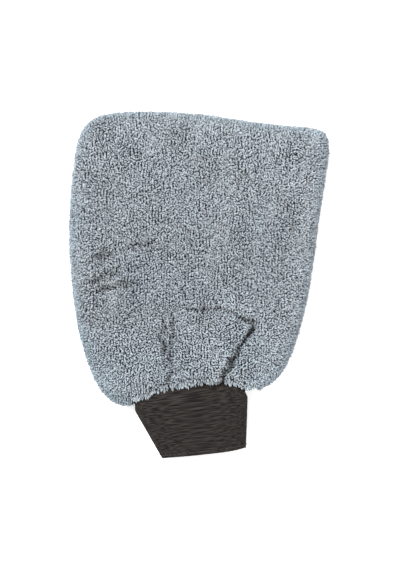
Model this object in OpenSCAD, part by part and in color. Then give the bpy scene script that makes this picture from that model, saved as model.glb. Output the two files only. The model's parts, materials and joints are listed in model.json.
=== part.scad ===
// Car wash mitt: a pile-fabric hand bag, lined and padded, with an elastic cuff.
// It lies flat on its back panel: X runs across the hand, +Y towards the fingertips, +Z up.
// The origin is under the middle of the whole mitt, on the surface that it lies on.

/* [Body] */
// Widest width of the body, edge to edge
body_w = 200; // [160:1:250]
// Length of the body from the wrist opening to the fingertip edge
body_l = 221; // [180:1:270]
// Height of the side seam above the surface, which is the depth of the back half
back_h = 15; // [14:0.5:22]
// Height of the front half above the side seam
front_h = 19; // [16:0.5:28]
// Roundness of the rolled edges: 2 is a plain ellipse, and more is squarer
edge_power = 3; // [2:0.5:5]

/* [Layers] */
// Pile fabric, its knitted ground and its tufts together
pile_t = 5; // [3:0.5:6]
// Foam sheet under the pile fabric
foam_t = 3; // [2:0.5:3.5]
// Woven lining that the hand touches
lining_t = 1.2; // [0.6:0.1:1.8]
// Air between one layer and the next
ply_gap = 0.4; // [0.3:0.1:0.6]
// Room for a seam's thread beside the edge of a layer
seam_room = 1.7; // [1.5:0.1:2.2]

/* [Cuff] */
// Length of the cuff from the wrist seam to its hem
cuff_l = 45; // [35:1:70]
// Flat width of the cuff at the wrist seam
cuff_top_w = 90; // [75:1:110]
// Flat width of the cuff at its hem
cuff_hem_w = 66; // [55:1:90]
// Sideways shift of the hem from the middle of the wrist seam
hem_shift = 5.5; // [-8:0.5:8]
// Thickness of the flat cuff at its hem, as a share of its thickness at the wrist seam
cuff_hem_share = 0.86; // [0.8:0.01:1]
// Length of cuff that is tucked inside the wrist opening
cuff_tuck = 3; // [2:0.5:4]
// Turn of the cuff about the vertical, away from square to the body
wrist_turn = 7; // [-10:1:10]
// Each woven face of the elastic
weave_t = 0.6; // [0.4:0.1:0.8]
// Rubber core of the elastic
core_d = 0.7; // [0.5:0.1:0.8]
// Distance from one rubber core to the next
core_pitch = 2.4; // [2:0.1:5]

/* [Wrist opening] */
// Room between the cuff's edge and the body at the sides
mouth_side_gap = 1.8; // [1:0.1:3]
// Room over and under the cuff, which lets it fold up and down
mouth_fold_gap = 3; // [3:0.1:4]

/* [Stitching] */
// Overlock thread of the bag seams
thread_d = 0.7; // [0.5:0.1:0.9]
// Length of bag seam for each stitch leg
bag_stitch = 4; // [3:0.5:8]
// Length of cuff seam for each stitch leg
cuff_stitch = 3; // [2:0.5:5]
// Finer thread of the cuff's own seam and hem
cuff_thread_d = 0.5; // [0.4:0.1:0.6]
// Distance of the topstitching from the hem's edge
hem_inset = 3; // [2:0.5:5]

/* [Hidden] */
FRONT = 1;
BACK = -1;

// Steps of every panel across the hand and along it, and of every cuff ring
steps_across = 20;
steps_along = 22;
steps_round = 28;
steps_cuff = 6;
// How far a panel's steps crowd towards its edges, from 0, even, to 1
crowding = 0.94;
// Share of a panel's length over which its wrist end swells to full thickness
swell_share = 0.3;
// Length of edge on each side over which its direction is averaged, so that the layers inside
// turn its corners without folding
corner_reach = 1.8 * (pile_t + foam_t + 2 * seam_room + lining_t);
// Samples from each end of the wrist opening over which that direction turns
wrist_blend = 12;
// How much faster than the front's the back's faces rise from the seam
back_fullness = 1.1;
// Reach of an overlock leg on each side of the seam's plane, in the pile and in the lining
pile_leg = 1.1;
lining_leg = 0.6;
// Half the opening left where the ends of the cuff elastic meet at its side seam
seam_half_angle = 1;
// Share of a stitch's pitch that is thread in the hem's topstitching
dash_share = 0.7;
// Air between a thread and the cloth beside it
thread_clear = 0.3;
thread_sides = 4;
// Clearance of a rubber core from each weave, and of the topstitching from the outer one
core_clear = 0.1;
stitch_lift = 0.05;
// Angle round the cuff that its side seam's legs reach on each side of the join
seam_leg_angle = 8;

// Sides of the body as it lies: shares of the way out from the wrist opening's end to the half
// width, and body lengths along from the wrist
left_side = [[0.25, -0.008], [0.49, 0.06], [0.74, 0.24], [0.87, 0.5], [0.85, 0.72], [0.76, 0.89], [0.6, 0.965]];
right_side = [[0.25, 0.048], [0.49, 0.105], [0.7, 0.23], [0.87, 0.41], [1, 0.64], [1.13, 0.85], [1.1, 0.922]];
// Fingertip edge from left to right, in half widths across and body lengths along
tip_edge = [[-0.63, 0.997], [-0.3, 1.005], [0.1, 0.995], [0.45, 0.97], [0.75, 0.955], [0.96, 0.945]];

// Insets of each layer's two faces from the outside, along the surface and through the thickness
foam_in = pile_t + seam_room;
lining_in = foam_in + foam_t + seam_room;
foam_down = pile_t + ply_gap;
lining_down = foam_down + foam_t + ply_gap;
mouth_half_w = cuff_top_w / 2 + mouth_side_gap;
// The wrist opening reaches up to the inside of the back half's pile, and the cuff fills it but
// for the room that it folds in
mouth_half_h = back_h - pile_t;
cuff_top_t = 2 * (mouth_half_h - mouth_fold_gap);
cuff_hem_t = cuff_hem_share * cuff_top_t;
elastic_t = 2 * (weave_t + core_clear) + core_d;
// Angle at which the cuff droops so that its hem lies on the surface
cuff_droop = asin(back_h / norm([cuff_l, cuff_hem_t / 2])) - atan2(cuff_hem_t / 2, cuff_l);

// ---- Small functions ----

function mix(a, b, t) = a + (b - a) * t;
// Steps from 0 to 1, closer together near both ends
function eased(n) = [for (i = [0:n]) mix(i / n, (1 - cos(180 * i / n)) / 2, crowding)];
// Height of a rolled edge at a place from -1 to 1 across it
function rolled(x) = pow(max(0, 1 - pow(abs(x), edge_power)), 1 / edge_power);
function unit(v) = v / norm(v);
// Catmull-Rom curve through the anchors p, at x counted in anchors
function spline_at(p, x_raw) =
    let (last = len(p) - 1, x = min(x_raw, last - 0.0001), i = floor(x), f = x - i,
         a = i > 0 ? p[i - 1] : 2 * p[0] - p[1], b = p[i], c = p[i + 1],
         d = i + 2 <= last ? p[i + 2] : 2 * p[last] - p[last - 1])
    0.5 * (2 * b + (c - a) * f + (2 * a - 5 * b + 4 * c - d) * f * f + (3 * b - a - 3 * c + d) * f * f * f);
// Length along a run of points up to point k
function length_to(run, k) = k == 0 ? 0 : length_to(run, k - 1) + norm(run[k] - run[k - 1]);
// Point at distance x along a run
function along_run(run, x, k = 1) =
    let (step = norm(run[k] - run[k - 1]))
    x <= step || k == len(run) - 1 ? mix(run[k - 1], run[k], min(1, x / step)) : along_run(run, x - step, k + 1);

// ---- Outline of the body ----

wrist_across = [cos(wrist_turn), sin(wrist_turn)];
wrist_along = [-sin(wrist_turn), cos(wrist_turn)];
function on_side(p, side) = [side * mix(mouth_half_w, body_w / 2, p[0]), p[1] * body_l];
anchors = concat([-mouth_half_w * wrist_across], [for (p = left_side) on_side(p, -1)],
                 [for (p = tip_edge) [p[0] * body_w / 2, p[1] * body_l]],
                 [for (k = [len(right_side) - 1:-1:0]) on_side(right_side[k], 1)], [mouth_half_w * wrist_across]);
// Which anchors are the two fingertip corners
left_corner = len(left_side);
right_corner = left_corner + len(tip_edge) + 1;
function stretch_of_edge(from, to, n) = [for (t = eased(n)) spline_at(anchors, mix(from, to, t))];
// The whole edge in one run: up the left side, across the tip and down the right side
edge_run = let (l = stretch_of_edge(0, left_corner, steps_along),
                t = stretch_of_edge(left_corner, right_corner, steps_across),
                r = stretch_of_edge(len(anchors) - 1, right_corner, steps_along))
    concat(l, [for (i = [1:steps_across - 1]) t[i]], [for (i = [steps_along:-1:0]) r[i]]);
edge_last = len(edge_run) - 1;
// Inward direction at sample i, square to the chord that spans corner_reach each way along the
// edge, and turning to straight up the hand at the wrist
function inward(i) =
    let (s = length_to(edge_run, i),
         chord = along_run(edge_run, s + corner_reach) - along_run(edge_run, max(0, s - corner_reach)))
    unit(mix(wrist_along, unit([chord[1], -chord[0]]), min(1, min(i, edge_last - i) / wrist_blend)));
function inset_run(d) = [for (i = [0:edge_last]) edge_run[i] + d * inward(i)];

// ---- Panels ----

// Place inside the outline at column i and row j, from the four sides of the inset run
function patch_point(run, i, j) =
    let (u = eased(steps_across)[i], v = eased(steps_along)[j], m = steps_along, e = edge_last,
         tip_first = run[m], tip_last = run[e - m],
         side_l = run[j], side_r = run[e - j], tip = run[m + i], wrist = mix(run[0], run[e], u))
    (1 - v) * wrist + v * tip + (1 - u) * side_l + u * side_r
    - (1 - u) * (1 - v) * run[0] - u * (1 - v) * run[e] - (1 - u) * v * tip_first - u * v * tip_last;

// Distance of a face from the seam's plane at column i and row j
function face_height(half_h, down, i, j) =
    let (u = eased(steps_across)[i], v = eased(steps_along)[j], plateau = half_h - down,
         wrist_h = min(mouth_half_h, plateau), full = plateau * rolled(max(0, 2 * v - 1)),
         swell = sin(90 * min(1, v / swell_share)))
    rolled(2 * u - 1) * mix(wrist_h, full, swell);

// The back is fuller near its edge, and its outermost face is pressed flat where it lies
function pressed(side, half_h, down, h) =
    let (plateau = half_h - down)
    side == FRONT ? h
    : down == 0 ? min(plateau, h * back_fullness)
    : plateau * (1 - pow(max(0, 1 - h / plateau), back_fullness));

function face_grid(side, inset, down) =
    let (run = inset_run(inset), half_h = side == FRONT ? front_h : back_h)
    [for (i = [0:steps_across]) [for (j = [0:steps_along])
        let (p = patch_point(run, i, j), h = pressed(side, half_h, down, face_height(half_h, down, i, j)))
        [p[0], p[1], back_h + side * h]]];

// A slab of cloth between an outer and an inner grid of points
module slab(outer, inner, flip = false) {
    n = len(outer);
    m = len(outer[0]);
    size = n * m;
    points = concat([for (c = outer) each c], [for (c = inner) each c]);
    function at(layer, i, j) = layer * size + i * m + j;
    function quad(a, b, c, d) = [[a, b, c], [a, c, d]];
    // Splits a cell from the corner of the slab that it is nearer to
    function cell(i, a, b, c, d) = i < (n - 1) / 2 ? quad(b, c, d, a) : quad(a, b, c, d);
    faces = concat(
        [for (i = [0:n - 2], j = [0:m - 2])
            each cell(i, at(0, i, j), at(0, i, j + 1), at(0, i + 1, j + 1), at(0, i + 1, j))],
        [for (i = [0:n - 2], j = [0:m - 2])
            each cell(i, at(1, i, j), at(1, i + 1, j), at(1, i + 1, j + 1), at(1, i, j + 1))],
        [for (j = [0:m - 2]) each concat(
            quad(at(0, 0, j), at(1, 0, j), at(1, 0, j + 1), at(0, 0, j + 1)),
            quad(at(0, n - 1, j), at(0, n - 1, j + 1), at(1, n - 1, j + 1), at(1, n - 1, j)))],
        [for (i = [0:n - 2]) each concat(
            quad(at(0, i, 0), at(0, i + 1, 0), at(1, i + 1, 0), at(1, i, 0)),
            quad(at(0, i, m - 1), at(1, i, m - 1), at(1, i + 1, m - 1), at(0, i + 1, m - 1)))]);
    polyhedron(points, flip ? [for (f = faces) [f[0], f[2], f[1]]] : faces);
}

module panel(side, inset, down, thick) {
    slab(face_grid(side, inset, down), face_grid(side, inset + thick, down + thick), side == BACK);
}

// ---- Thread ----

// A tube along the points of path, with thread_sides flats
module thread(path, d) {
    last = len(path) - 1;
    s = thread_sides;
    rings = [for (k = [0:last])
        let (t = unit(path[min(k + 1, last)] - path[max(k - 1, 0)]),
             side = unit(cross(t, abs(t[2]) < 0.9 ? [0, 0, 1] : [1, 0, 0])), up = cross(side, t))
        for (q = [0:s - 1]) path[k] + d / 2 * (cos(360 * (q + 0.5) / s) * side + sin(360 * (q + 0.5) / s) * up)];
    walls = [for (k = [0:last - 1], q = [0:s - 1])
        let (a = k * s + q, b = k * s + (q + 1) % s) each [[a, b, b + s], [a, b + s, a + s]]];
    ends = [for (q = [1:s - 2]) each [[0, q + 1, q], [last * s, last * s + q, last * s + q + 1]]];
    polyhedron(rings, concat(walls, ends));
}

// Overlock legs that cross the seam's plane from side to side, around the bag
module bag_seam(inset, reach) {
    run = inset_run(inset);
    total = length_to(run, len(run) - 1);
    legs = floor(total / bag_stitch);
    thread([for (k = [1:legs - 1])
        let (p = along_run(run, k * total / legs)) [p[0], p[1], back_h + (k % 2 == 0 ? reach : -reach)]], thread_d);
}

// ---- Cuff ----

// A point of the flattened cuff: a is the angle round it, s the distance from the wrist seam
// towards the hand, and inset the depth below its outside
function cuff_point(a, s, inset) =
    let (t = max(0, -s / cuff_l), half_w = mix(cuff_top_w, cuff_hem_w, t) / 2 - inset,
         half_t = mix(cuff_top_t, cuff_hem_t, t) / 2 - inset,
         power = 2 / edge_power)
    [hem_shift * t + half_w * sign(cos(a)) * pow(abs(cos(a)), power), s,
     half_t * sign(sin(a)) * pow(abs(sin(a)), power)];
function cuff_angles() =
    [for (k = [0:steps_round]) mix(seam_half_angle, 360 - seam_half_angle, k / steps_round)];
cuff_rows = concat([for (k = [0:steps_cuff]) mix(-cuff_l, 0, k / steps_cuff)], [cuff_tuck]);

// From the cuff's own frame to the body's: drooped, turned and set on the wrist opening
module at_wrist() {
    translate([0, 0, back_h]) rotate([0, 0, wrist_turn]) rotate([cuff_droop, 0, 0]) children();
}

module cuff_sleeve(inset, thick) {
    slab([for (a = cuff_angles()) [for (s = cuff_rows) cuff_point(a, s, inset)]],
         [for (a = cuff_angles()) [for (s = cuff_rows) cuff_point(a, s, inset + thick)]], true);
}

// ---- Origin ----

function turned(p) = p[0] * wrist_across + p[1] * cos(cuff_droop) * wrist_along
    + p[2] * sin(cuff_droop) * -1 * wrist_along;
hem_places = [for (a = cuff_angles()) turned(cuff_point(a, -cuff_l, 0))];
low_x = min([for (p = concat(edge_run, hem_places)) p[0]]);
high_x = max([for (p = concat(edge_run, hem_places)) p[0]]);
low_y = min([for (p = concat(edge_run, hem_places)) p[1]]);
high_y = max([for (p = edge_run) p[1]]);
module placed() {
    translate([-(low_x + high_x) / 2, -(low_y + high_y) / 2, 0]) children();
}

// ---- Sub-parts ----

module front_pile_panel() {
    color("#9aa3aa") placed() panel(FRONT, 0, 0, pile_t);
}

module back_pile_panel() {
    color("#8d969e") placed() panel(BACK, 0, 0, pile_t);
}

module front_foam_sheet() {
    color("#d9d4c4") placed() panel(FRONT, foam_in, foam_down, foam_t);
}

module back_foam_sheet() {
    color("#d9d4c4") placed() panel(BACK, foam_in, foam_down, foam_t);
}

module front_lining() {
    color("#5c6268") placed() panel(FRONT, lining_in, lining_down, lining_t);
}

module back_lining() {
    color("#5c6268") placed() panel(BACK, lining_in, lining_down, lining_t);
}

// Closes the two pile panels, on their inside
module side_seam_thread() {
    color("#7c858c") placed() bag_seam(pile_t + thread_d / 2 + thread_clear, pile_leg);
}

// Closes the two linings, on the side away from the hand
module lining_seam_thread() {
    color("#4a4f54") placed() bag_seam(foam_in + foam_t + thread_d / 2 + thread_clear, lining_leg);
}

// Overlocks the rolled edge of the pile panels round the wrist opening
module wrist_seam_thread() {
    inset = thread_d / 2 + thread_clear;
    near_edge = 2 * thread_d;
    far_edge = pile_t - thread_d;
    legs = 2 * floor((mouth_half_w + mouth_half_h) * 2 / cuff_stitch);
    power = 2 / edge_power;
    color("#2c2a29") placed() translate([0, 0, back_h]) rotate([0, 0, wrist_turn])
        thread([for (k = [0:legs - 1])
            let (a = 360 * k / legs)
            [(mouth_half_w - inset) * sign(cos(a)) * pow(abs(cos(a)), power),
             k % 2 == 0 ? near_edge : far_edge,
             (mouth_half_h - inset) * sign(sin(a)) * pow(abs(sin(a)), power)]], thread_d);
}

module cuff_outer_weave() {
    color("#2e2a28") placed() at_wrist() cuff_sleeve(0, weave_t);
}

module cuff_inner_weave() {
    color("#2e2a28") placed() at_wrist() cuff_sleeve(elastic_t - weave_t, weave_t);
}

// Rubber cores that run round the cuff between its two woven faces
module cuff_rubber_cores() {
    count = floor((cuff_l + cuff_tuck - core_pitch) / core_pitch);
    color("#d8d2c6") placed() at_wrist()
        for (k = [1:count])
            thread([for (a = cuff_angles())
                cuff_point(a, -cuff_l + k * core_pitch, elastic_t / 2)], core_d);
}

// Joins the two ends of the elastic, inside the cuff's right edge
module cuff_side_seam_thread() {
    legs = floor(cuff_l / (4 * cuff_thread_d));
    inset = elastic_t + cuff_thread_d / 2 + thread_clear;
    color("#1f1d1c") placed() at_wrist()
        thread([for (k = [1:legs - 1])
            let (s = -cuff_l * k / legs) cuff_point(k % 2 == 0 ? seam_leg_angle : -seam_leg_angle, s, inset)], cuff_thread_d);
}

// One row of stitches just above the hem, on the outside
module cuff_hem_topstitch() {
    stitches = floor(2 * cuff_hem_w / cuff_stitch);
    color("#1f1d1c") placed() at_wrist()
        for (k = [1:stitches - 1])
            let (a = 360 * k / stitches, half = 180 * dash_share / stitches, lift = -cuff_thread_d / 2 - stitch_lift)
            thread([for (b = [a - half, a, a + half]) cuff_point(b, hem_inset - cuff_l, lift)], cuff_thread_d);
}

front_pile_panel();
back_pile_panel();
front_foam_sheet();
back_foam_sheet();
front_lining();
back_lining();
side_seam_thread();
lining_seam_thread();
wrist_seam_thread();
cuff_outer_weave();
cuff_inner_weave();
cuff_rubber_cores();
cuff_side_seam_thread();
cuff_hem_topstitch();
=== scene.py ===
import json
import math
import bpy
import numpy as np
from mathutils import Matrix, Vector
from mathutils.bvhtree import BVHTree


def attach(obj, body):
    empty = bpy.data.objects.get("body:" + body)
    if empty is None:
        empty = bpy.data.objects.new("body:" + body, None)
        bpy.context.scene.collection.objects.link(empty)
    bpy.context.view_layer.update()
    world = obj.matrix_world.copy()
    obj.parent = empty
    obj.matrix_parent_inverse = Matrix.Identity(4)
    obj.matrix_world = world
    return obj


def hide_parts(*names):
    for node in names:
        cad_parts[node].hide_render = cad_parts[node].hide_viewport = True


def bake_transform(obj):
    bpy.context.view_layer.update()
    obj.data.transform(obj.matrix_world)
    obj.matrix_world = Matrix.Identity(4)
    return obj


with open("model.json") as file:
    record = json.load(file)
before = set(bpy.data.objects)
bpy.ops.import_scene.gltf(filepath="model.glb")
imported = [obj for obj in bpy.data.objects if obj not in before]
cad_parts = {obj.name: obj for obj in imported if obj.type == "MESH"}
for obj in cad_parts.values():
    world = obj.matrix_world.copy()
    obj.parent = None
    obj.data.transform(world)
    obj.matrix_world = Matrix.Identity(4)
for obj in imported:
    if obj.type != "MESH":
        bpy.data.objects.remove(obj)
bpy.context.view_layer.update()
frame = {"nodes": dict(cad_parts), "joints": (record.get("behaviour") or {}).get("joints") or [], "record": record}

rng = np.random.default_rng(7)
MM = 0.001

# ---- Sizes of the mitt, in metres ----

FRONT = 1
BACK = -1
BODY_HALF_W = 0.100
FRONT_H = 0.019
BACK_H = 0.015
MOUTH_HALF_W = 0.0468
MOUTH_HALF_H = 0.010
SWELL_L = 0.066
BACK_FULLNESS = 1.1
PILE_L = 3.0 * MM
PILE_DOWN = 2.0 * MM
GROUND_T = 0.7 * MM
FOAM_IN = 6.7 * MM
FOAM_DOWN = 5.4 * MM
FOAM_T = 3 * MM
FOAM_BACK = 9 * MM
LINING_IN = 11.4 * MM
LINING_DOWN = 8.8 * MM
LINING_T = 1.2 * MM
THREAD_D = 0.7 * MM
CUFF_THREAD_D = 0.5 * MM
CUFF_L = 0.045
CUFF_TOP_W = 0.090
CUFF_HEM_W = 0.066
CUFF_TOP_T = 0.0128
CUFF_HEM_T = 0.0118
HEM_SHIFT = 5.5 * MM
CUFF_TUCK = 0.012
WEAVE_T = 0.6 * MM
ELASTIC_T = 2.1 * MM
CORE_D = 0.7 * MM
RIB_PITCH = 1.25 * MM
ROLL_POWER = 3

# ---- Frame: hinge of the cuff and the directions at the wrist ----

joint = frame["joints"][0]
hinge = np.array(joint["pos_m"])
across = np.array(joint["axis"])
mounts = frame["record"]["mounts"]
cuff_out = np.array(next(m["axis"] for m in mounts if m["name"] == "hand_opening"))
cuff_up = np.cross(across, -cuff_out)
along = np.array([-across[1], across[0], 0.0])
UP = np.array([0.0, 0.0, 1.0])
seam_z = hinge[2]


def mix(a, b, t):
    """Value a share t of the way from a to b."""
    return a + (b - a) * t


def smooth(x):
    """Eased step from 0 to 1."""
    x = np.clip(x, 0, 1)
    return x * x * (3 - 2 * x)


def unit(v):
    """Vectors of length 1."""
    return v / np.maximum(np.linalg.norm(v, axis=-1, keepdims=True), 1e-9)


def rolled(x):
    """Height of a rolled edge, from 0 at the seam to 1 where it is full."""
    rest = 1 - np.clip(x, 0, 1)
    return np.maximum(1 - rest ** ROLL_POWER, 0) ** (1 / ROLL_POWER)


# ---- Outline of the body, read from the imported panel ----

CENTRE = np.array([0.0, 0.010])
FAR = 0.3
RIM_LIFT = 0.2 * MM
RIM_STEP = 0.5


def read_rim():
    """Points of the body's edge, from one end of the wrist opening round to the other."""
    mesh = frame["nodes"]["front_pile_panel"].data
    tree = BVHTree.FromPolygons([v.co for v in mesh.vertices], [p.vertices for p in mesh.polygons])
    found = []
    for degrees in np.arange(-62, 242, RIM_STEP):
        a = math.radians(degrees)
        way = Vector((math.cos(a), math.sin(a), 0))
        start = Vector((CENTRE[0], CENTRE[1], seam_z + RIM_LIFT)) + way * FAR
        place = tree.ray_cast(start, -way, FAR)[0]
        if place is not None:
            found.append((place.x, place.y))
    rim = np.array(found)
    for _ in range(3):
        rim[1:-1] = (rim[:-2] + 2 * rim[1:-1] + rim[2:]) / 4
    return rim


rim = read_rim()

# ---- Plan grid of distances and heights ----

GRID_STEP = 1.0 * MM
LOW = np.array([-0.125, -0.125])
HIGH = np.array([0.125, 0.155])
COUNT = np.round((HIGH - LOW) / GRID_STEP).astype(int) + 1
grid_x = LOW[0] + GRID_STEP * np.arange(COUNT[0])
grid_y = LOW[1] + GRID_STEP * np.arange(COUNT[1])
plan = np.stack(np.meshgrid(grid_x, grid_y, indexing="ij"), -1)


def distance_to_line(points, line):
    """Distance from each plan point to a line of points."""
    best = np.full(points.shape[:-1], 9.0)
    for a, b in zip(line[:-1], line[1:]):
        step = b - a
        t = np.clip(((points - a) @ step) / max(step @ step, 1e-12), 0, 1)
        gap = np.linalg.norm(points - a - t[..., None] * step, axis=-1)
        best = np.minimum(best, gap)
    return best


def inside(points, loop):
    """True for plan points within a closed loop."""
    result = np.zeros(points.shape[:-1], bool)
    x = points[..., 0]
    y = points[..., 1]
    for a, b in zip(loop, np.roll(loop, -1, 0)):
        if a[1] == b[1]:
            continue
        crosses = (a[1] > y) != (b[1] > y)
        result ^= crosses & (x < a[0] + (b[0] - a[0]) * (y - a[1]) / (b[1] - a[1]))
    return result


def read(grid, points):
    """Grid values at plan points, read between the grid's own."""
    at = np.clip((points - LOW) / GRID_STEP, 0, COUNT - 1.001)
    i = at.astype(int)
    f = at - i
    a = grid[i[..., 0], i[..., 1]]
    b = grid[i[..., 0] + 1, i[..., 1]]
    c = grid[i[..., 0], i[..., 1] + 1]
    d = grid[i[..., 0] + 1, i[..., 1] + 1]
    return mix(mix(a, b, f[..., 0]), mix(c, d, f[..., 0]), f[..., 1])


def lumps(points, size, seed):
    """Smooth random hills and hollows, about size across."""
    r = np.random.default_rng(seed)
    total = np.zeros(points.shape[:-1])
    waves = 14
    for _ in range(waves):
        a = r.uniform(0, math.tau)
        k = math.tau / (size * r.uniform(0.8, 1.6))
        phase = r.uniform(0, 6.3)
        total += np.sin(points[..., 0] * k * math.cos(a) + points[..., 1] * k * math.sin(a) + phase)
    return total / math.sqrt(waves / 2)


from_mouth_all = (plan - hinge[:2]) @ along[:2]
across_all = (plan - hinge[:2]) @ across[:2]
edge_all = np.where(inside(plan, rim), 1, -1) * distance_to_line(plan, rim)
slope_x, slope_y = np.gradient(edge_all, GRID_STEP)

# Wrist edge of the front panel: across the opening, and how far up the hand it arches
lip_places = np.array([-60, -46, -36, -27, -17, 1.5, 15, 25, 33, 39, 46, 60]) * MM
lip_rises = np.array([0, 3, 6, 8, 10, 11, 10.8, 10.4, 8.5, 5, 1.5, 0]) * MM


def lip_at(a, side):
    """How far up the hand the wrist edge arches at a place across it."""
    return np.interp(a, lip_places, lip_rises) if side == FRONT else np.zeros_like(a)


# Creases where the front panel is tucked and wrinkled, in millimetres: points of the line in plan,
# depth, half width, and how far the cloth beside it is lifted (on its left, or right if negative).
# The depth also sets how much painted shade the crease's valley gets.
CREASES = [
    ([(-84, 21), (-71, 24), (-50, 31), (-33, 34)], 2.7, 3.2, 3.4),
    ([(-84, 2), (-77, 5), (-60, 14)], 2.3, 2.8, 2.4),
    ([(-80, -4), (-73, -2), (-46, 4)], 2.2, 2.8, 2.6),
    ([(-28, -24), (-28, -36), (-27, -51), (-25, -64)], 2.4, 2.2, -1.2),
    ([(-20, -16), (-20, -34), (-22, -46), (-21, -62), (-23, -78)], 2.2, 2.4, 1.8),
    ([(-24, 10), (-12, -4), (-4, -14)], 1.0, 3.4, 2.4),
    ([(-12, -14), (-6, -18), (12, -17), (27, -21), (45, -29)], 2.6, 2.2, 4.4),
    ([(13, -78), (22, -64), (29, -49), (35, -40), (44, -29)], 3.0, 2.4, 4.6),
    ([(52, 58), (66, 50), (80, 47)], 0.8, 4.0, 0.6),
    ([(-6, 104), (12, 96), (20, 84)], 0.7, 5.0, 0.4),
]
LIFT_FADE = 13 * MM
WALL_W = 2.4 * MM


def side_of_line(points, line):
    """Signed distance of plan points from a line of points, positive on its left."""
    best = np.full(points.shape[:-1], 9.0)
    signed = np.zeros(points.shape[:-1])
    for a, b in zip(line[:-1], line[1:]):
        step = b - a
        t = np.clip(((points - a) @ step) / (step @ step), 0, 1)
        away = points - a - t[..., None] * step
        gap = np.linalg.norm(away, axis=-1)
        turn = np.sign(step[0] * away[..., 1] - step[1] * away[..., 0])
        closer = gap < best
        best = np.where(closer, gap, best)
        signed = np.where(closer, gap * turn, signed)
    return signed


def share_along(points, line):
    """How well inside the ends of a line plan points lie, from 0 past its ends to 1."""
    first, last = line[0], line[-1]
    run = last - first
    t = ((points - first) @ run) / (run @ run)
    length = np.linalg.norm(run)
    return smooth(1.2 * t * length / (9 * MM) + 0.35) * smooth(1.2 * (1 - t) * length / (9 * MM) + 0.35)


def relief_of_front():
    """Height added to the front panel by its creases and lumps, and the painted shade down in its creases."""
    total = 0.8 * MM * lumps(plan, 0.052, 3) + 0.3 * MM * lumps(plan, 0.021, 5)
    shade = np.zeros(plan.shape[:-1])
    waver = 0.7 * MM * lumps(plan, 0.011, 8)
    shade_strength = 0.8 + 0.3 * lumps(plan, 0.02, 9)
    for points, depth, half, lift in CREASES:
        line = np.array(points) * MM
        gap = side_of_line(plan, line) + waver
        ends = share_along(plan, line)
        valley = np.exp(-((gap / (half * MM)) ** 2)) * ends
        side = gap * np.sign(lift)
        ledge = smooth(side / WALL_W + 0.2) * np.exp(-np.maximum(side, 0) / LIFT_FADE) * ends
        total += abs(lift) * MM * ledge - depth * MM * valley
        # Painted shade down in the crease's valley: the pile there is coloured darker, more so for deeper creases.
        shade = np.maximum(shade, np.clip(shade_strength, 0.1, 1.3) * valley * (depth / 3.0) ** 1.5)
    fade = smooth(edge_all / (12 * MM)) * smooth((from_mouth_all + 0.002) / 0.012)
    return total * fade, shade * fade


relief, fold_shade = relief_of_front()
swell_all = np.sin(math.pi / 2 * np.clip(from_mouth_all / SWELL_L, 0, 1))

# The panels come down to the cuff at their wrist edges
LIP_L = 9 * MM
LIP_H = 9.2 * MM


def lip_drop(side):
    """How far a panel's face is drawn down to the cuff at the wrist."""
    full = FRONT_H if side == FRONT else BACK_H * BACK_FULLNESS
    tall = mix(MOUTH_HALF_H, full, swell_all)
    near = smooth(1 - (from_mouth_all - lip_at(across_all, side)) / LIP_L)
    return near * np.maximum(tall - LIP_H, 0)


drops = {FRONT: lip_drop(FRONT), BACK: lip_drop(BACK)}


def surface(points, side, inset=0.0, down=0.0):
    """Distance from the seam's plane of a face that lies inset and down from the outside."""
    swell = read(swell_all, points)
    share = rolled((read(edge_all, points) - inset) / (mix(MOUTH_HALF_W, BODY_HALF_W, swell) - inset))
    plateau = (FRONT_H if side == FRONT else BACK_H) - down
    height = mix(np.minimum(MOUTH_HALF_H - 0.35 * down, plateau), plateau, swell) * share
    drop = read(drops[side], points) * share
    if side == FRONT:
        return height + read(relief, points) * share - drop
    return np.minimum(BACK_FULLNESS * height, plateau) - drop


# ---- Meshes ----


def new_mesh(name, verts, quads, tris=None, values=None):
    """A mesh object from arrays; values are named numbers at its points."""
    tris = np.zeros((0, 3), int) if tris is None else tris
    mesh = bpy.data.meshes.new(name)
    loops = np.concatenate([quads.ravel(), tris.ravel()])
    starts = np.concatenate([np.arange(len(quads)) * 4, len(quads) * 4 + np.arange(len(tris)) * 3])
    mesh.vertices.add(len(verts))
    mesh.vertices.foreach_set("co", np.asarray(verts, np.float32).ravel())
    mesh.loops.add(len(loops))
    mesh.loops.foreach_set("vertex_index", loops.astype(np.int32))
    mesh.polygons.add(len(starts))
    mesh.polygons.foreach_set("loop_start", starts.astype(np.int32))
    mesh.update(calc_edges=True)
    mesh.validate()
    for key, numbers in (values or {}).items():
        layer = mesh.attributes.new(key, "FLOAT", "POINT")
        layer.data.foreach_set("value", np.asarray(numbers, np.float32))
    mesh.polygons.foreach_set("use_smooth", np.ones(len(mesh.polygons), bool))
    obj = bpy.data.objects.new(name, mesh)
    bpy.context.scene.collection.objects.link(obj)
    return obj


def dress(obj, material):
    """Gives a piece its material."""
    obj.data.materials.append(material)
    return obj


def grid_quads(rows, columns, closed=False):
    """Faces between a grid's points, row by row; closed joins its last column to its first."""
    r = np.arange(rows - 1)[:, None]
    c = np.arange(columns if closed else columns - 1)[None, :]
    d = (c + 1) % columns
    quads = np.stack([r * columns + c, r * columns + d, (r + 1) * columns + d, (r + 1) * columns + c], -1)
    return quads.reshape(-1, 4)


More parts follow.
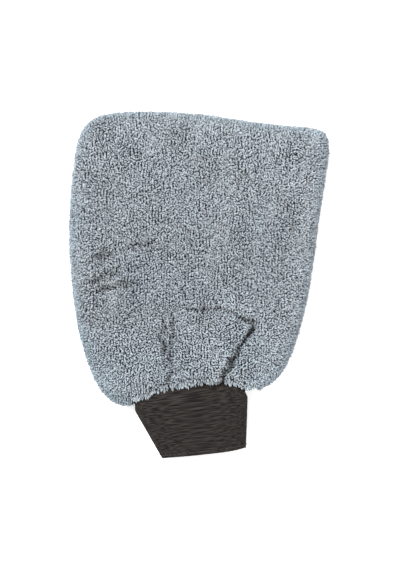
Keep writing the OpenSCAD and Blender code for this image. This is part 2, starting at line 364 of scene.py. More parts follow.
def closed_sheet(name, outer, inner, closed=False, values=None):
    """Cloth between an outer and an inner grid of the same shape, closed round its edges."""
    rows, columns = outer.shape[:2]
    size = rows * columns
    faces = grid_quads(rows, columns, closed)
    index = np.arange(size).reshape(rows, columns)
    edges = [index[0], index[-1][::-1]]
    if closed:
        edges = [np.append(index[0], index[0][0]), np.append(index[-1], index[-1][0])[::-1]]
    else:
        edges += [index[::-1, 0], index[:, -1]]
    walls = []
    for line in edges:
        walls.append(np.stack([line[1:], line[:-1], line[:-1] + size, line[1:] + size], -1))
    quads = np.concatenate([faces, faces[:, ::-1] + size] + walls)
    verts = np.concatenate([outer.reshape(-1, 3), inner.reshape(-1, 3)])
    both = {key: np.tile(np.asarray(v).ravel(), 2) for key, v in (values or {}).items()}
    return new_mesh(name, verts, quads, values=both)


# ---- Body layers ----

RINGS = 46
SPOKES = 300
spoke_angle = np.linspace(0, math.tau, SPOKES, endpoint=False)
spoke = np.stack([np.cos(spoke_angle), np.sin(spoke_angle)], -1)


def reach_along_spokes(inset, side, back_from_wrist):
    """How far each spoke runs before it comes within inset of the edge or the wrist."""
    low = np.zeros(SPOKES)
    high = np.full(SPOKES, 0.16)
    for _ in range(26):
        middle = (low + high) / 2
        points = CENTRE + spoke * middle[:, None]
        wrist = read(from_mouth_all, points) - lip_at(read(across_all, points), side) - back_from_wrist
        free = np.minimum(read(edge_all, points), wrist) - inset
        low = np.where(free > 0, middle, low)
        high = np.where(free > 0, high, middle)
    return low


def layer_face(side, inset, down, ripple=0.0, back_from_wrist=0.0, seed=11):
    """Points of one face of a layer, ring by ring from the middle to its edge."""
    t = 1 - (1 - np.linspace(0.01, 1, RINGS)) ** 2
    reach = reach_along_spokes(inset, side, back_from_wrist)
    points = CENTRE + (t[:, None] * reach[None, :])[..., None] * spoke[None]
    height = surface(points, side, inset, down)
    if ripple:
        fade = smooth(height / (4 * MM))
        height = height + fade * ripple * (lumps(points, 0.018, seed) + lumps(points, 0.009, seed + 1)) / 2
    return np.concatenate([points, (seam_z + side * height)[..., None]], -1)


def body_layer(name, side, inset, down, thick, ripple=0.0, back_from_wrist=0.0):
    """One closed layer of cloth or foam of the body, which starts further from the wrist if told."""
    outer = layer_face(side, inset, down, ripple, back_from_wrist)
    inner = layer_face(side, inset + thick, down + thick, ripple, back_from_wrist)
    if side == BACK:
        outer, inner = outer[:, ::-1], inner[:, ::-1]
    plan_x = outer[..., 0]
    plan_y = outer[..., 1]
    return closed_sheet(name, outer, inner, closed=True, values={"around": plan_x, "along": plan_y})


# ---- Pile ----

ROW_PITCH = 1.15 * MM
PAIR_SHIFT = 0.2 * MM
STITCH_PITCH = 1.35 * MM
TUFT_SIDES = 4
TUFT_RINGS = np.array([0.0, 0.4, 0.78])
TUFT_GIRTHS = np.array([0.75, 1.0, 0.72])
TUFT_RADIUS = 0.68 * MM
FRINGE_L = 6 * MM
FRINGE_LONGER = 0.35
PIECE_TUFTS = 8000
SWAY = 0.6 * MM
SCATTER = 0.15 * MM
COMB_PATCH = 0.03
COMB_TURN = 0.8
COMB_SPREAD = 1.2
TILT = 0.27
TILT_SPREAD = 0.13
TILT_FRINGE = 0.65
TILT_BACK = 0.35
TONE_SPREAD = 0.26
# Painted bluish light on the tufts at the rim: how strong, and how far in.
RIM_BLUE_LIGHT = 0.45
RIM_BLUE_LIGHT_W = 12 * MM
# Painted shade on the tufts at the rim and down in the folds: how strong, and how far in at the rim.
RIM_SHADE = 0.2
RIM_SHADE_W = 11 * MM
FOLD_SHADE_STRENGTH = 0.7
PROFILE = np.concatenate([np.linspace(0, 4 * MM, 400), np.linspace(4 * MM, 0.11, 500)[1:]])


def unrolled(side):
    """Length along the rolled surface from the seam to each place of PROFILE, in the body's middle."""
    full = FRONT_H if side == FRONT else BACK_H
    height = full * rolled(PROFILE / BODY_HALF_W)
    steps = np.hypot(np.diff(PROFILE), np.diff(height))
    return np.concatenate([[0], np.cumsum(steps)])


def tuft_places(side):
    """Plan places of the tufts of one panel: rows up the hand, worked on the flat cloth."""
    x = np.arange(-0.118, 0.118, ROW_PITCH)
    y = np.arange(-0.115, 0.150, STITCH_PITCH)
    flat = np.stack(np.meshgrid(x, y, indexing="ij"), -1)
    flat[1::2, :, 1] += STITCH_PITCH / 2
    flat[1::2, :, 0] -= PAIR_SHIFT
    flat = flat.reshape(-1, 2)
    sway = SWAY * lumps(flat, COMB_PATCH, 21)
    loose = 0.3 + 0.7 * smooth(read(edge_all, flat) / (26 * MM))
    flat = flat + np.stack([sway, 0 * sway], -1) + loose[:, None] * rng.normal(0, SCATTER, flat.shape)
    length = unrolled(side)
    extra = length[-1] - PROFILE[-1]
    edge = read(edge_all, flat)
    keep = edge > -extra
    flat, edge = flat[keep], edge[keep]
    moved = np.interp(edge + extra, length, PROFILE)
    inward = unit(np.stack([read(slope_x, flat), read(slope_y, flat)], -1))
    places = flat + inward * (moved - edge)[:, None]
    wrist = read(from_mouth_all, places) - lip_at(read(across_all, places), side)
    keep = (wrist > 0.4 * MM) & (read(edge_all, places) > -0.2 * MM)
    return places[keep]


def outward(points, side):
    """Direction square to the outer surface at plan points."""
    step = 0.6 * MM
    edge = np.maximum(read(edge_all, points), 0.12 * MM)
    away = unit(np.stack([read(slope_x, points), read(slope_y, points)], -1))
    base = points + away * np.maximum(0, 0.9 * MM - edge)[:, None]
    dx = np.array([step, 0])
    dy = np.array([0, step])
    slope = np.stack([
        (surface(base + dx, side) - surface(base - dx, side)) / (2 * step),
        (surface(base + dy, side) - surface(base - dy, side)) / (2 * step)], -1)
    swell = read(swell_all, points)
    x = np.clip(edge / mix(MOUTH_HALF_W, BODY_HALF_W, swell), 1e-4, 1)
    full = FRONT_H if side == FRONT else BACK_H * BACK_FULLNESS
    tall = mix(MOUTH_HALF_H, full, swell)
    steep = tall / mix(MOUTH_HALF_W, BODY_HALF_W, swell) * (1 - x) ** 2 / np.maximum(rolled(x), 1e-3) ** 2
    near_edge = smooth(1 - edge / (3 * MM))[:, None]
    slope = mix(slope, away * steep[:, None], near_edge)
    return unit(np.concatenate([-slope, np.full((len(points), 1), 1.0)], -1)) * np.array([1, 1, side])


def tuft_tone(places):
    """How pale each tuft is, from 0 to 1."""
    tone = rng.normal(0.5, TONE_SPREAD, len(places)) + 0.08 * lumps(places, 0.006, 41)
    return np.clip(tone, 0, 1)


def tuft_cool(places):
    """How bluish each tuft is: most at the rim, where bluish light is painted on, and towards the wrist."""
    rim_light_share = RIM_BLUE_LIGHT * smooth(1 - read(edge_all, places) / RIM_BLUE_LIGHT_W)
    wrist_share = 0.25 * smooth((0.02 - places[:, 1]) / 0.08)
    return np.clip(rim_light_share + 0.1 * lumps(places, 0.05, 51) + wrist_share, 0, 1)


def painted_tuft_light(places, side):
    """Painted shade of each tuft, as the share of full colour it keeps: less at the rim and down in the folds."""
    painted_lit = 1 - RIM_SHADE * smooth(1 - read(edge_all, places) / RIM_SHADE_W)
    if side == FRONT:
        painted_lit = painted_lit * (1 - FOLD_SHADE_STRENGTH * read(fold_shade, places))
    return painted_lit


def build_pile(side, label, material):
    """All tufts of one panel, in pieces."""
    places = tuft_places(side)
    n = len(places)
    height = surface(places, side)
    base = np.concatenate([places, (seam_z + side * height)[:, None]], -1)
    normal = outward(places, side)
    wrist = read(from_mouth_all, places) - lip_at(read(across_all, places), side)
    in_mouth = smooth(1 - np.abs(read(across_all, places)) / (MOUTH_HALF_W * 1.25) + 0.2)
    fringe = smooth(1 - wrist / FRINGE_L) * np.minimum(1, in_mouth * 1.6)
    root = base - normal * (PILE_DOWN * (1 - 0.25 * fringe))[:, None]
    comb = COMB_TURN * lumps(places, COMB_PATCH, 31) + rng.normal(0, COMB_SPREAD, n)
    way = np.stack([np.cos(comb), np.sin(comb), 0 * comb], -1)
    way = unit(way * (1 - fringe)[:, None] - along * (2.4 * fringe)[:, None] + rng.normal(0, 0.25, (n, 3)))
    lean = unit(way - normal * np.sum(way * normal, -1, keepdims=True))
    tilt = np.clip(rng.normal(TILT, TILT_SPREAD, n), 0.02, 1.1) + TILT_FRINGE * fringe
    if side == BACK:
        tilt = tilt + TILT_BACK
    length = PILE_L * np.clip(rng.normal(1, 0.14, n), 0.65, 1.4) * (1 + FRINGE_LONGER * fringe)
    girth = TUFT_RADIUS * np.clip(rng.normal(1, 0.12, n), 0.7, 1.35)
    tone = tuft_tone(places)
    cool = tuft_cool(places)
    painted_lit = painted_tuft_light(places, side)
    axis = unit(normal * np.cos(tilt)[:, None] + lean * np.sin(tilt)[:, None])
    side_a = unit(np.cross(axis, rng.normal(0, 1, (n, 3))))
    side_b = np.cross(axis, side_a)
    rings = []
    for t, g in zip(TUFT_RINGS, TUFT_GIRTHS):
        middle = root + tuft_line(t, length, tilt, normal, lean, fringe)
        for k in range(TUFT_SIDES):
            a = math.tau * k / TUFT_SIDES
            rings.append(middle + (g * girth)[:, None] * (math.cos(a) * side_a + math.sin(a) * side_b))
    rings.append(root + tuft_line(1.0, length, tilt, normal, lean, fringe))
    points = np.stack(rings, 1)
    points[..., 2] = np.maximum(points[..., 2], 0.15 * MM)
    per = points.shape[1]
    rise = np.append(np.repeat(TUFT_RINGS, TUFT_SIDES), 1.0)
    k = np.arange(TUFT_SIDES)
    nxt = (k + 1) % TUFT_SIDES
    bands = len(TUFT_RINGS) - 1
    band = np.stack([k, nxt, nxt + TUFT_SIDES, k + TUFT_SIDES], -1)
    quads = np.concatenate([band + b * TUFT_SIDES for b in range(bands)])
    top = bands * TUFT_SIDES
    tris = np.stack([top + k, top + nxt, np.full(TUFT_SIDES, per - 1)], -1)
    pieces = []
    parts = max(1, math.ceil(n / PIECE_TUFTS))
    order = np.argsort(places[:, 1])
    for number, chosen in enumerate(np.array_split(order, parts)):
        m = len(chosen)
        shift = (np.arange(m) * per)[:, None, None]
        # The rise attribute holds the height up each tuft times its painted shade, so tufts at the rim and in the
        # folds are painted darker.
        obj = new_mesh(
            f"{label}_tufts_{number + 1}",
            points[chosen].reshape(-1, 3),
            (quads[None] + shift).reshape(-1, 4),
            (tris[None] + shift).reshape(-1, 3),
            {"rise": (painted_lit[chosen, None] * rise).ravel(), "tone": np.repeat(tone[chosen], per),
             "cool": np.repeat(cool[chosen], per)})
        pieces.append(dress(obj, material))
    print(label, "tufts", n, "pieces", len(pieces))
    return pieces


def tuft_line(t, length, tilt, normal, lean, fringe):
    """Middle of a tuft at share t of its length: it starts square to the cloth and bends over."""
    rise = t * (1 - 0.18 * t * np.sin(tilt)) * np.cos(tilt * 0.9)
    over = (0.55 * t + 0.45 * t * t) * np.sin(tilt)
    drop = fringe * 0.42 * t * t
    leant = (length * rise)[:, None] * normal + (length * over)[:, None] * lean
    return leant - (length * drop)[:, None] * UP


# ---- Cuff ----


def cuff_place(a, s, inset):
    """Point of the cuff: a is the angle round it, s the distance from the wrist towards the hand."""
    t = np.maximum(0, -s / CUFF_L)
    gather = 1 - 0.045 * smooth((s + 5 * MM) / (6 * MM))
    half_w = mix(CUFF_TOP_W, CUFF_HEM_W, t ** 1.05) / 2 * gather - inset
    half_t = mix(CUFF_TOP_T, CUFF_HEM_T, t) / 2 - inset
    power = 2 / ROLL_POWER
    x = HEM_SHIFT * t + half_w * np.sign(np.cos(a)) * np.abs(np.cos(a)) ** power
    n = half_t * np.sign(np.sin(a)) * np.abs(np.sin(a)) ** power
    level = smooth((s + 4 * MM) / (8 * MM))
    run = unit(mix(-cuff_out, along, level[..., None]))
    rise = unit(mix(cuff_up, UP, level[..., None]))
    return hinge + x[..., None] * across + s[..., None] * run + n[..., None] * rise


CUFF_ROUND = 168
ROWS_PER_RIB = 5
RIB_H = 0.07 * MM
PUCKER_H = 0.12 * MM
PUCKERS = 46
HEM_TRIM_L = 6 * MM
HEM_TRIM_TOP = -0.5
HEM_TRIM_BACK = 0.7
HEM_WAVE = 0.35 * MM


def cuff_rows():
    """Places along the cuff of the rows of its weave, from the hem to the tucked end."""
    rows = round((CUFF_L + CUFF_TUCK) / RIB_PITCH) * ROWS_PER_RIB
    return np.linspace(-CUFF_L, CUFF_TUCK, rows + 1)


def sleeve(name, inset, thick, ribs):
    """Ribbed woven sleeve; its ribs run round the cuff."""
    s_line = cuff_rows()
    a_line = np.linspace(0, math.tau, CUFF_ROUND, endpoint=False)
    s, a = np.meshgrid(s_line, a_line, indexing="ij")
    top = np.sin(a) > 0
    hem_share = smooth((-s - CUFF_L + HEM_TRIM_L) / HEM_TRIM_L)
    trim = np.where(top, HEM_TRIM_TOP, HEM_TRIM_BACK) * MM * hem_share
    shifted = s - trim + HEM_WAVE * np.sin(3 * a + 1) * hem_share
    wave = np.cos(math.tau * s / RIB_PITCH)
    pucker = PUCKER_H * np.sin(PUCKERS * a + 5 * np.sin(s / (5 * MM)))
    outer_in = inset + ribs * (0.5 - 0.5 * wave) + pucker
    outer = cuff_place(a, shifted, outer_in)
    inner = cuff_place(a, shifted, inset + thick + pucker)
    around = a * (CUFF_TOP_W + CUFF_HEM_W) / 2 / math.pi
    obj = closed_sheet(name, outer[:, ::-1], inner[:, ::-1], closed=True,
                       values={"around": around[:, ::-1], "along": s[:, ::-1]})
    return obj


# ---- Threads ----


def tube(name, paths, diameter, sides=6):
    """Round thread along each path of points."""
    verts, quads, tris, count = [], [], [], 0
    run_values = []
    for path in paths:
        path = np.asarray(path, float)
        ahead = unit(np.gradient(path, axis=0))
        flat_way = np.where(np.abs(ahead[:, 2:]) < 0.9, UP, np.array([1.0, 0, 0]))
        side_a = unit(np.cross(ahead, flat_way))
        side_b = np.cross(side_a, ahead)
        angles = math.tau * np.arange(sides) / sides
        ring = np.cos(angles)[:, None] * side_a[:, None] + np.sin(angles)[:, None] * side_b[:, None]
        verts.append((path[:, None] + diameter / 2 * ring).reshape(-1, 3))
        quads.append(grid_quads(len(path), sides, closed=True) + count)
        last = count + (len(path) - 1) * sides
        fan = np.arange(1, sides - 1)
        tris.append(np.stack([np.full(sides - 2, count), fan + count + 1, fan + count], -1))
        tris.append(np.stack([np.full(sides - 2, last), fan + last, fan + last + 1], -1))
        lengths = np.concatenate([[0], np.cumsum(np.linalg.norm(np.diff(path, axis=0), axis=1))])
        run_values.append(np.repeat(lengths, sides))
        count += len(path) * sides
    return new_mesh(name, np.concatenate(verts), np.concatenate(quads), np.concatenate(tris),
                    {"along": np.concatenate(run_values)})


def smooth_path(points, between=3):
    """Points with more between them, so that a stitch bends as thread does."""
    points = np.asarray(points, float)
    t = np.arange(len(points))
    fine = np.linspace(0, len(points) - 1, (len(points) - 1) * between + 1)
    f = fine - np.floor(fine)
    eased = np.floor(fine) + f * f * (3 - 2 * f)
    return np.stack([np.interp(eased, t, points[:, k]) for k in range(3)], -1)


def bag_stitches(inset, pitch, leg):
    """Overlock legs round the bag, crossing the seam's plane from side to side."""
    inward = unit(np.stack([read(slope_x, rim), read(slope_y, rim)], -1))
    line = rim + inward * inset
    for _ in range(6):
        line[1:-1] = (line[:-2] + 2 * line[1:-1] + line[2:]) / 4
    run = np.concatenate([[0], np.cumsum(np.linalg.norm(np.diff(line, axis=0), axis=1))])
    legs = int(run[-1] / pitch)
    at = np.linspace(pitch, run[-1] - pitch, legs)
    x = np.interp(at, run, line[:, 0])
    y = np.interp(at, run, line[:, 1])
    z = seam_z + leg * np.where(np.arange(legs) % 2 == 0, 1, -1)
    return smooth_path(np.stack([x, y, z], -1))


# ---- Materials ----


def socket(group, name, kind, way, value=None):
    """A named socket of a shader group."""
    item = group.interface.new_socket(name, in_out=way, socket_type=kind)
    if value is not None:
        item.default_value = value
    return item


def fibre_group():
    """Colour of pile from how high up a tuft it is and the tuft's own tone. The dark root colour is painted shade
    deep in the pile, and Rise also carries painted shade at the rim and in the folds.
    """
    group = bpy.data.node_groups.new("fibre colour", "ShaderNodeTree")
    socket(group, "Rise", "NodeSocketFloat", "INPUT", 1.0)
    socket(group, "Tone", "NodeSocketFloat", "INPUT", 0.5)
    socket(group, "Root Shade", "NodeSocketColor", "INPUT", (0.05, 0.05, 0.05, 1))
    socket(group, "Middle", "NodeSocketColor", "INPUT", (0.3, 0.3, 0.3, 1))
    socket(group, "Pale", "NodeSocketColor", "INPUT", (0.6, 0.6, 0.6, 1))
    socket(group, "Cool", "NodeSocketFloat", "INPUT", 0.0)
    socket(group, "Cool Tint", "NodeSocketColor", "INPUT", (0.8, 1.0, 1.2, 1))
    socket(group, "Patch Size", "NodeSocketFloat", "INPUT", 9.0)
    socket(group, "Color", "NodeSocketColor", "OUTPUT")
    n, link = group.nodes, group.links
    start = n.new("NodeGroupInput")
    end = n.new("NodeGroupOutput")
    place = n.new("ShaderNodeTexCoord")
    patch = n.new("ShaderNodeTexNoise")
    link.new(place.outputs["Object"], patch.inputs["Vector"])
    link.new(start.outputs["Patch Size"], patch.inputs["Scale"])
    shift = n.new("ShaderNodeMath")
    shift.operation = "MULTIPLY_ADD"
    shift.inputs[1].default_value = 0.5
    shift.inputs[2].default_value = -0.25
    link.new(patch.outputs["Fac"], shift.inputs[0])
    tone = n.new("ShaderNodeMath")
    tone.operation = "ADD"
    tone.use_clamp = True
    link.new(start.outputs["Tone"], tone.inputs[0])
    link.new(shift.outputs[0], tone.inputs[1])
    pale = n.new("ShaderNodeMix")
    pale.data_type = "RGBA"
    link.new(tone.outputs[0], pale.inputs["Factor"])
    link.new(start.outputs["Middle"], pale.inputs["A"])
    link.new(start.outputs["Pale"], pale.inputs["B"])
    climb = n.new("ShaderNodeMapRange")
    climb.interpolation_type = "SMOOTHSTEP"
    climb.inputs["From Min"].default_value = 0.05
    climb.inputs["From Max"].default_value = 0.85
    link.new(start.outputs["Rise"], climb.inputs["Value"])
    # Towards the root the colour sinks to the root colour, painted shade deep in the pile.
    whole = n.new("ShaderNodeMix")
    whole.data_type = "RGBA"
    link.new(climb.outputs["Result"], whole.inputs["Factor"])
    link.new(start.outputs["Root Shade"], whole.inputs["A"])
    link.new(pale.outputs["Result"], whole.inputs["B"])
    # Cool tints the colour bluish: partly the fibre's own tone, partly painted bluish light at the rim.
    tint = n.new("ShaderNodeMix")
    tint.data_type = "RGBA"
    tint.blend_type = "MULTIPLY"
    link.new(start.outputs["Cool"], tint.inputs["Factor"])
    link.new(whole.outputs["Result"], tint.inputs["A"])
    link.new(start.outputs["Cool Tint"], tint.inputs["B"])
    link.new(tint.outputs["Result"], end.inputs["Color"])
    return group


def weave_group():
    """Height of a weave whose threads cross at two pitches, in metres, mixed with broken streaks as much as told.
    """
    group = bpy.data.node_groups.new("weave", "ShaderNodeTree")
    socket(group, "Around", "NodeSocketFloat", "INPUT", 0.0)
    socket(group, "Along", "NodeSocketFloat", "INPUT", 0.0)
    socket(group, "Around Pitch", "NodeSocketFloat", "INPUT", 0.001)
    socket(group, "Along Pitch", "NodeSocketFloat", "INPUT", 0.001)
    socket(group, "Streak", "NodeSocketFloat", "INPUT", 0.0)
    socket(group, "Height", "NodeSocketFloat", "OUTPUT")
    n, link = group.nodes, group.links
    start = n.new("NodeGroupInput")
    end = n.new("NodeGroupOutput")
    waves = []
    place = n.new("ShaderNodeCombineXYZ")
    for run, pitch in (("Around", "Around Pitch"), ("Along", "Along Pitch")):
        turns = n.new("ShaderNodeMath")
        turns.operation = "DIVIDE"
        link.new(start.outputs[run], turns.inputs[0])
        link.new(start.outputs[pitch], turns.inputs[1])
        link.new(turns.outputs[0], place.inputs[len(waves)])
        angle = n.new("ShaderNodeMath")
        angle.operation = "MULTIPLY"
        angle.inputs[1].default_value = math.tau
        link.new(turns.outputs[0], angle.inputs[0])
        sine = n.new("ShaderNodeMath")
        sine.operation = "SINE"
        link.new(angle.outputs[0], sine.inputs[0])
        waves.append(sine)
    product = n.new("ShaderNodeMath")
    product.operation = "MULTIPLY"
    link.new(waves[0].outputs[0], product.inputs[0])
    link.new(waves[1].outputs[0], product.inputs[1])
    level = n.new("ShaderNodeMath")
    level.operation = "MULTIPLY_ADD"
    level.inputs[1].default_value = 0.5
    level.inputs[2].default_value = 0.5
    link.new(product.outputs[0], level.inputs[0])
    streak = n.new("ShaderNodeTexNoise")
    streak.inputs["Scale"].default_value = 1.0
    streak.inputs["Detail"].default_value = 1.0
    link.new(place.outputs[0], streak.inputs["Vector"])
    sharp = n.new("ShaderNodeMapRange")
    sharp.inputs["From Min"].default_value = 0.38
    sharp.inputs["From Max"].default_value = 0.70
    link.new(streak.outputs["Fac"], sharp.inputs["Value"])
    both = n.new("ShaderNodeMix")
    link.new(start.outputs["Streak"], both.inputs["Factor"])
    link.new(level.outputs[0], both.inputs["A"])
    link.new(sharp.outputs["Result"], both.inputs["B"])
    link.new(both.outputs["Result"], end.inputs["Height"])
    return group


FIBRE = fibre_group()
WEAVE = weave_group()


def blank_material(name, roughness):
    """A new material, its node tree and its shader."""
    material = bpy.data.materials.new(name)
    material.use_nodes = True
    shader = material.node_tree.nodes["Principled BSDF"]
    shader.inputs["Roughness"].default_value = roughness
    shader.inputs["Specular IOR Level"].default_value = 0.25
    return material, material.node_tree, shader


def named_value(tree, name):
    """Output of a number that is stored at the mesh's points."""
    node = tree.nodes.new("ShaderNodeAttribute")
    node.attribute_name = name
    return node.outputs["Fac"]


def add_group(tree, group):
    """A node that uses a shared group."""
    node = tree.nodes.new("ShaderNodeGroup")
    node.node_tree = group
    return node


def pile_material(name, root_shade, middle, pale):
    """Tufts, painted dark at their roots for the shade deep in the pile, and pale at their tips."""
    material, tree, shader = blank_material(name, 0.85)
    node = add_group(tree, FIBRE)
    tree.links.new(named_value(tree, "rise"), node.inputs["Rise"])
    tree.links.new(named_value(tree, "tone"), node.inputs["Tone"])
    tree.links.new(named_value(tree, "cool"), node.inputs["Cool"])
    node.inputs["Cool Tint"].default_value = (0.84, 0.94, 1.0, 1)
    node.inputs["Root Shade"].default_value = root_shade
    node.inputs["Middle"].default_value = middle
    node.inputs["Pale"].default_value = pale
    node.inputs["Patch Size"].default_value = 12.0
    tree.links.new(node.outputs["Color"], shader.inputs["Base Color"])
    shader.inputs["Sheen Weight"].default_value = 0.12
    shader.inputs["Sheen Roughness"].default_value = 0.5
    return material


def cloth_material(name, dark, light, around, along_pitch, streak, roughness=0.85, bump=0.3):
    """Woven cloth, lighter on its raised threads."""
    material, tree, shader = blank_material(name, roughness)
    node = add_group(tree, WEAVE)
    tree.links.new(named_value(tree, "around"), node.inputs["Around"])
    tree.links.new(named_value(tree, "along"), node.inputs["Along"])
    node.inputs["Around Pitch"].default_value = around
    node.inputs["Along Pitch"].default_value = along_pitch
    node.inputs["Streak"].default_value = streak
    colour = tree.nodes.new("ShaderNodeMix")
    colour.data_type = "RGBA"
    colour.inputs["A"].default_value = dark
    colour.inputs["B"].default_value = light
    tree.links.new(node.outputs["Height"], colour.inputs["Factor"])
    tree.links.new(colour.outputs["Result"], shader.inputs["Base Color"])
    ridge = tree.nodes.new("ShaderNodeBump")
    ridge.inputs["Strength"].default_value = bump
    ridge.inputs["Distance"].default_value = 0.0003
    tree.links.new(node.outputs["Height"], ridge.inputs["Height"])
    tree.links.new(ridge.outputs["Normal"], shader.inputs["Normal"])
    return material


def plain_material(name, colour, roughness):
    """An even material for small or hidden pieces."""
    material, tree, shader = blank_material(name, roughness)
    shader.inputs["Base Color"].default_value = colour
    return material


def grey(level, red=1.0, green=1.0, blue=1.0):
    """A grey colour, with its channels scaled."""
    return (level * red, level * green, level * blue, 1)


# The first pile colour, at the tuft roots, is painted shade deep in the pile.
pile = pile_material("pile", (0.022, 0.023, 0.024, 1), (0.27, 0.293, 0.315, 1), (0.60, 0.65, 0.69, 1))
# The ground cloth is real, but its near-black colour is painted shade of the gaps between the tufts.
ground = plain_material("pile ground", (0.03, 0.031, 0.032, 1), 0.95)
foam = plain_material("foam", (0.72, 0.70, 0.63, 1), 0.9)
lining = cloth_material("lining", grey(0.09), grey(0.15, 0.97, 1.0, 1.05), 0.0009, 0.0009, 0.1)
elastic = cloth_material("elastic", grey(0.001, 1.4, 1.0, 0.8), grey(0.031, 1.24, 1.0, 0.86),
                         0.005, 0.0009, 0.93)
body_thread = plain_material("body thread", (0.22, 0.25, 0.28, 1), 0.6)
cuff_thread = plain_material("cuff thread", (0.045, 0.042, 0.04, 1), 0.6)
rubber = plain_material("rubber cores", (0.62, 0.58, 0.50, 1), 0.5)

# ---- Pieces of the body ----


def body_side(side, label):
    """The ground, tufts, padding and lining of one side of the body."""
    panel = body_layer(f"{label}_ground", side, PILE_DOWN, PILE_DOWN, GROUND_T)
    dress(panel, ground)
    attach(panel, "mitt")
    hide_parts(f"{label}_pile_panel")
    tufts = build_pile(side, label, pile)
    for piece in tufts:
        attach(piece, "mitt")
    pad = body_layer(f"{label}_padding", side, FOAM_IN, FOAM_DOWN, FOAM_T,
                     back_from_wrist=FOAM_BACK)
    dress(pad, foam)
    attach(pad, "mitt")
    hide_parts(f"{label}_foam_sheet")
    inner = body_layer(f"{label}_lining_cloth", side, LINING_IN, LINING_DOWN, LINING_T, ripple=0.25 * MM)
    dress(inner, lining)
    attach(inner, "mitt")
    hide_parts(f"{label}_lining")


body_side(FRONT, "front")
body_side(BACK, "back")

SEAM_PITCH = 4 * MM
SIDE_SEAM_IN = 5.6 * MM
SIDE_SEAM_LEG = 1.3 * MM
LINING_SEAM_IN = 10.3 * MM
LINING_SEAM_LEG = 0.8 * MM
side_line = bag_stitches(SIDE_SEAM_IN, SEAM_PITCH, SIDE_SEAM_LEG)
lining_line = bag_stitches(LINING_SEAM_IN, SEAM_PITCH, LINING_SEAM_LEG)
side_seam = tube("side_seam_stitches", [side_line], THREAD_D)
lining_seam = tube("lining_seam_stitches", [lining_line], THREAD_D)
for obj, node in ((side_seam, "side_seam_thread"), (lining_seam, "lining_seam_thread")):
    dress(obj, body_thread)
    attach(obj, "mitt")
    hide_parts(node)

# ---- Pieces of the cuff ----


def on_cuff(obj, material, node):
    """Gives a piece of the cuff its material, bakes its place into its points and hides the imported part it
    stands in for.
    """
    dress(obj, material)
    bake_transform(obj)
    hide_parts(node)
    return obj


outer_weave = on_cuff(sleeve("cuff_outer_cloth", 0.0, WEAVE_T, RIB_H), elastic,
                      "cuff_outer_weave")
inner_weave = on_cuff(sleeve("cuff_inner_cloth", ELASTIC_T - WEAVE_T, WEAVE_T, 0.0), elastic,
                      "cuff_inner_weave")

around_cuff = np.linspace(0, math.tau, 97)
core_pitch = 2.4 * MM
core_places = np.arange(-CUFF_L + core_pitch, 2 * MM, core_pitch)
core_paths = [cuff_place(around_cuff, np.full(97, s), ELASTIC_T / 2) for s in core_places]
on_cuff(tube("cuff_rubber_rings", core_paths, CORE_D), rubber, "cuff_rubber_cores")


def side_seam_of_cuff():
    """Zigzag stitches that join the ends of the elastic."""
    count = int(CUFF_L / (2 * MM))
    s = -CUFF_L * np.arange(1, count) / count
    a = math.radians(8) * np.where(np.arange(1, count) % 2 == 0, 1, -1)
    return smooth_path(cuff_place(a, s, ELASTIC_T + CUFF_THREAD_D / 2 + 0.3 * MM))


def hem_stitches():
    """Separate stitches beside the hem."""
    count = int(2 * CUFF_HEM_W / (3 * MM))
    paths = []
    for k in range(count):
        a = math.tau * (k + np.linspace(-0.36, 0.36, 5)) / count
        dip = np.array([0.25, 0.0, -0.06, 0.0, 0.25]) * MM
        paths.append(cuff_place(a, np.full(5, 3 * MM - CUFF_L), dip - CUFF_THREAD_D / 2))
    return paths


on_cuff(tube("cuff_side_stitches", [side_seam_of_cuff()], CUFF_THREAD_D), cuff_thread,
        "cuff_side_seam_thread")
on_cuff(tube("cuff_hem_stitches", hem_stitches(), CUFF_THREAD_D), cuff_thread,
        "cuff_hem_topstitch")


WRIST_STITCH = 3 * MM
WRIST_IN = 3.5 * MM
WRIST_DOWN = 3.2 * MM
WRIST_NEAR = 0.8
WRIST_FAR = 3.6


def wrist_stitches():
    """Overlock round the wrist opening, just inside the pile's rolled edge."""
    count = 2 * int((MOUTH_HALF_W + MOUTH_HALF_H) * 2 / WRIST_STITCH)
    a = math.tau * np.arange(count + 1) / count
    power = 2 / ROLL_POWER
    x = (MOUTH_HALF_W - WRIST_IN) * np.sign(np.cos(a)) * np.abs(np.cos(a)) ** power
    z = (MOUTH_HALF_H - WRIST_DOWN) * np.sign(np.sin(a)) * np.abs(np.sin(a)) ** power
    zigzag = np.where(np.arange(count + 1) % 2 == 0, WRIST_NEAR, WRIST_FAR) * MM
    y = zigzag + np.where(z > 0, lip_at(x, FRONT), 0)
    return smooth_path(hinge + x[:, None] * across + y[:, None] * along + z[:, None] * UP)


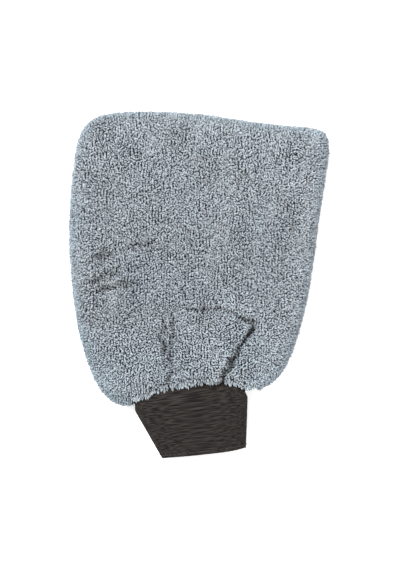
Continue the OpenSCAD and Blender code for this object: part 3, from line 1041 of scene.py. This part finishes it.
wrist_seam = dress(tube("wrist_overlock", [wrist_stitches()], THREAD_D), cuff_thread)
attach(wrist_seam, "mitt")
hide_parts("wrist_seam_thread")

# ---- Floor, light and camera ----

FLOOR_HALF = 4.0


def floor_material():
    """Pale backing that glows a little, so that shadows on it stay faint."""
    material, tree, shader = blank_material("floor", 0.9)
    shader.inputs["Base Color"].default_value = (0.9, 0.9, 0.9, 1)
    shader.inputs["Emission Color"].default_value = (1, 1, 1, 1)
    shader.inputs["Emission Strength"].default_value = 0.5
    return material


floor_at = np.array([(-FLOOR_HALF, -FLOOR_HALF, 0), (FLOOR_HALF, -FLOOR_HALF, 0),
                     (FLOOR_HALF, FLOOR_HALF, 0), (-FLOOR_HALF, FLOOR_HALF, 0)])
floor = new_mesh("floor", floor_at, np.array([[0, 1, 2, 3]]))
floor.data.materials.append(floor_material())


def area_light(name, place, aim, size, power, colour):
    """A square soft light that faces a place."""
    data = bpy.data.lights.new(name, "AREA")
    data.shape = "SQUARE"
    data.size = size
    data.energy = power
    data.color = colour
    light = bpy.data.objects.new(name, data)
    light.location = place
    light.rotation_euler = (Vector(aim) - Vector(place)).to_track_quat("-Z", "Y").to_euler()
    bpy.context.scene.collection.objects.link(light)
    return light


area_light("key", (-1.2, 1.2, 2.4), (0, 0, 0), 1.4, 125, (0.95, 0.98, 1.0))
area_light("fill", (1.1, -0.6, 1.4), (0, 0, 0), 1.6, 10, (1.0, 0.96, 0.92))

scene = bpy.context.scene
world = bpy.data.worlds.new("studio")
world.use_nodes = True
world.node_tree.nodes["Background"].inputs["Color"].default_value = (1, 1, 1, 1)
world.node_tree.nodes["Background"].inputs["Strength"].default_value = 0.62
scene.world = world
scene.view_settings.view_transform = "Standard"

CAMERA_H = 1.1
VIEW_H = 0.4423
SENSOR = 36.0
camera_data = bpy.data.cameras.new("camera")
camera_data.sensor_width = SENSOR
camera_data.lens = SENSOR * CAMERA_H / VIEW_H
camera = bpy.data.objects.new("camera", camera_data)
camera.location = (0.00078, 0.00078, seam_z + CAMERA_H)
scene.collection.objects.link(camera)
scene.camera = camera
